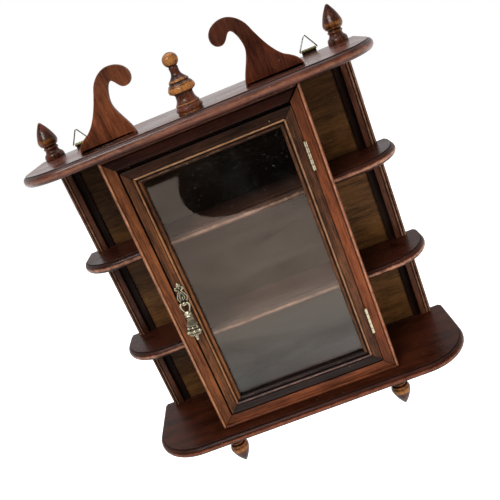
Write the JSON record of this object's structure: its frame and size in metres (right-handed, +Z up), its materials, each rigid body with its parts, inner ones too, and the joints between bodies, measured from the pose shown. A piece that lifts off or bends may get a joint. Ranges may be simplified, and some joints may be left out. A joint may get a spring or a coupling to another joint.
{
  "type": "wall display case",
  "caption": "Wall-hung wooden display case with a glazed door, open shelf wings, a scrolled crest and turned finials.",
  "frame": {"origin": "middle of the back panel's outer face, on the plane that meets the wall", "axes": "+X to the right seen from the front, +Y back into the wall, +Z up; the door faces -Y"},
  "size_m": [0.395, 0.1258, 0.4831],
  "materials": {
    "mahogany": "glossy red-brown stain, worn lighter along the beads",
    "dark_mahogany": "dark brown stain, worn tan along the inner moulding",
    "plywood": "olive-brown stain with horizontal grain",
    "honey_wood": "dark stain rubbed through to honey gold on the raised turnings",
    "glass": "clear polished sheet",
    "brass": "satin, slightly tarnished",
    "antique_brass": "cast, dark in the recesses and bright on the crests",
    "steel": "bright drawn wire",
    "magnet": "matt dark brown"
  },
  "bodies": {
    "cabinet": {"base_board": "mahogany", "top_board": "mahogany", "case_side_left": "mahogany", "case_side_right": "mahogany", "case_back_panel": "plywood", "case_shelf_upper": "mahogany", "case_shelf_lower": "mahogany", "wing_shelf_upper_left": "mahogany", "wing_shelf_upper_right": "mahogany", "wing_shelf_lower_left": "mahogany", "wing_shelf_lower_right": "mahogany", "wing_back_left": "plywood", "wing_back_right": "plywood", "wing_post_left": "mahogany", "wing_post_right": "mahogany", "face_stile_left": "mahogany", "face_stile_right": "mahogany", "face_rail_top": "dark_mahogany", "face_rail_bottom": "mahogany", "scroll_left": "mahogany", "scroll_right": "mahogany", "centre_finial": "honey_wood", "side_finial_left": "honey_wood", "side_finial_right": "honey_wood", "drop_finial_left": "honey_wood", "drop_finial_right": "honey_wood", "hinge_upper_frame_leaf": "brass", "hinge_lower_frame_leaf": "brass", "hinge_upper_pin": "brass", "hinge_lower_pin": "brass", "magnet_catch": "magnet", "hanger_strap_left": "brass", "hanger_strap_right": "brass", "hanger_nail_left_1": "steel", "hanger_nail_left_2": "steel", "hanger_nail_right_1": "steel", "hanger_nail_right_2": "steel"},
    "door": {"door_stile_left": "dark_mahogany", "door_stile_right": "dark_mahogany", "door_rail_top": "dark_mahogany", "door_rail_bottom": "dark_mahogany", "glass_pane": "glass", "glass_bead_left": "dark_mahogany", "glass_bead_right": "dark_mahogany", "glass_bead_top": "dark_mahogany", "glass_bead_bottom": "dark_mahogany", "hinge_upper_door_leaf": "brass", "hinge_lower_door_leaf": "brass", "strike_plate": "steel", "pull_backplate": "antique_brass", "pull_nail": "steel"},
    "pull_drop": {"pull_drop": "antique_brass"},
    "hanger_ring_left": {"hanger_ring_left": "steel"},
    "hanger_ring_right": {"hanger_ring_right": "steel"}
  },
  "joints": [
    {"name": "door_hinge", "type": "hinge", "parent": "cabinet", "child": "door", "pos_m": [0.0949, -0.1085, -0.00125], "axis": [0, 0, 1], "range_deg": [0, 170]},
    {"name": "pull_swing", "type": "hinge", "parent": "door", "child": "pull_drop", "pos_m": [-0.0883, -0.1107, -0.00215], "axis": [-0.9976, 0, 0.0698], "range_deg": [0, 75]},
    {"name": "hanger_left_swing", "type": "hinge", "parent": "cabinet", "child": "hanger_ring_left", "pos_m": [-0.1412, -0.00085, 0.18925], "axis": [1, 0, 0], "range_deg": [-120, 100]},
    {"name": "hanger_right_swing", "type": "hinge", "parent": "cabinet", "child": "hanger_ring_right", "pos_m": [0.1412, -0.00085, 0.18925], "axis": [1, 0, 0], "range_deg": [-120, 100]}
  ]
}
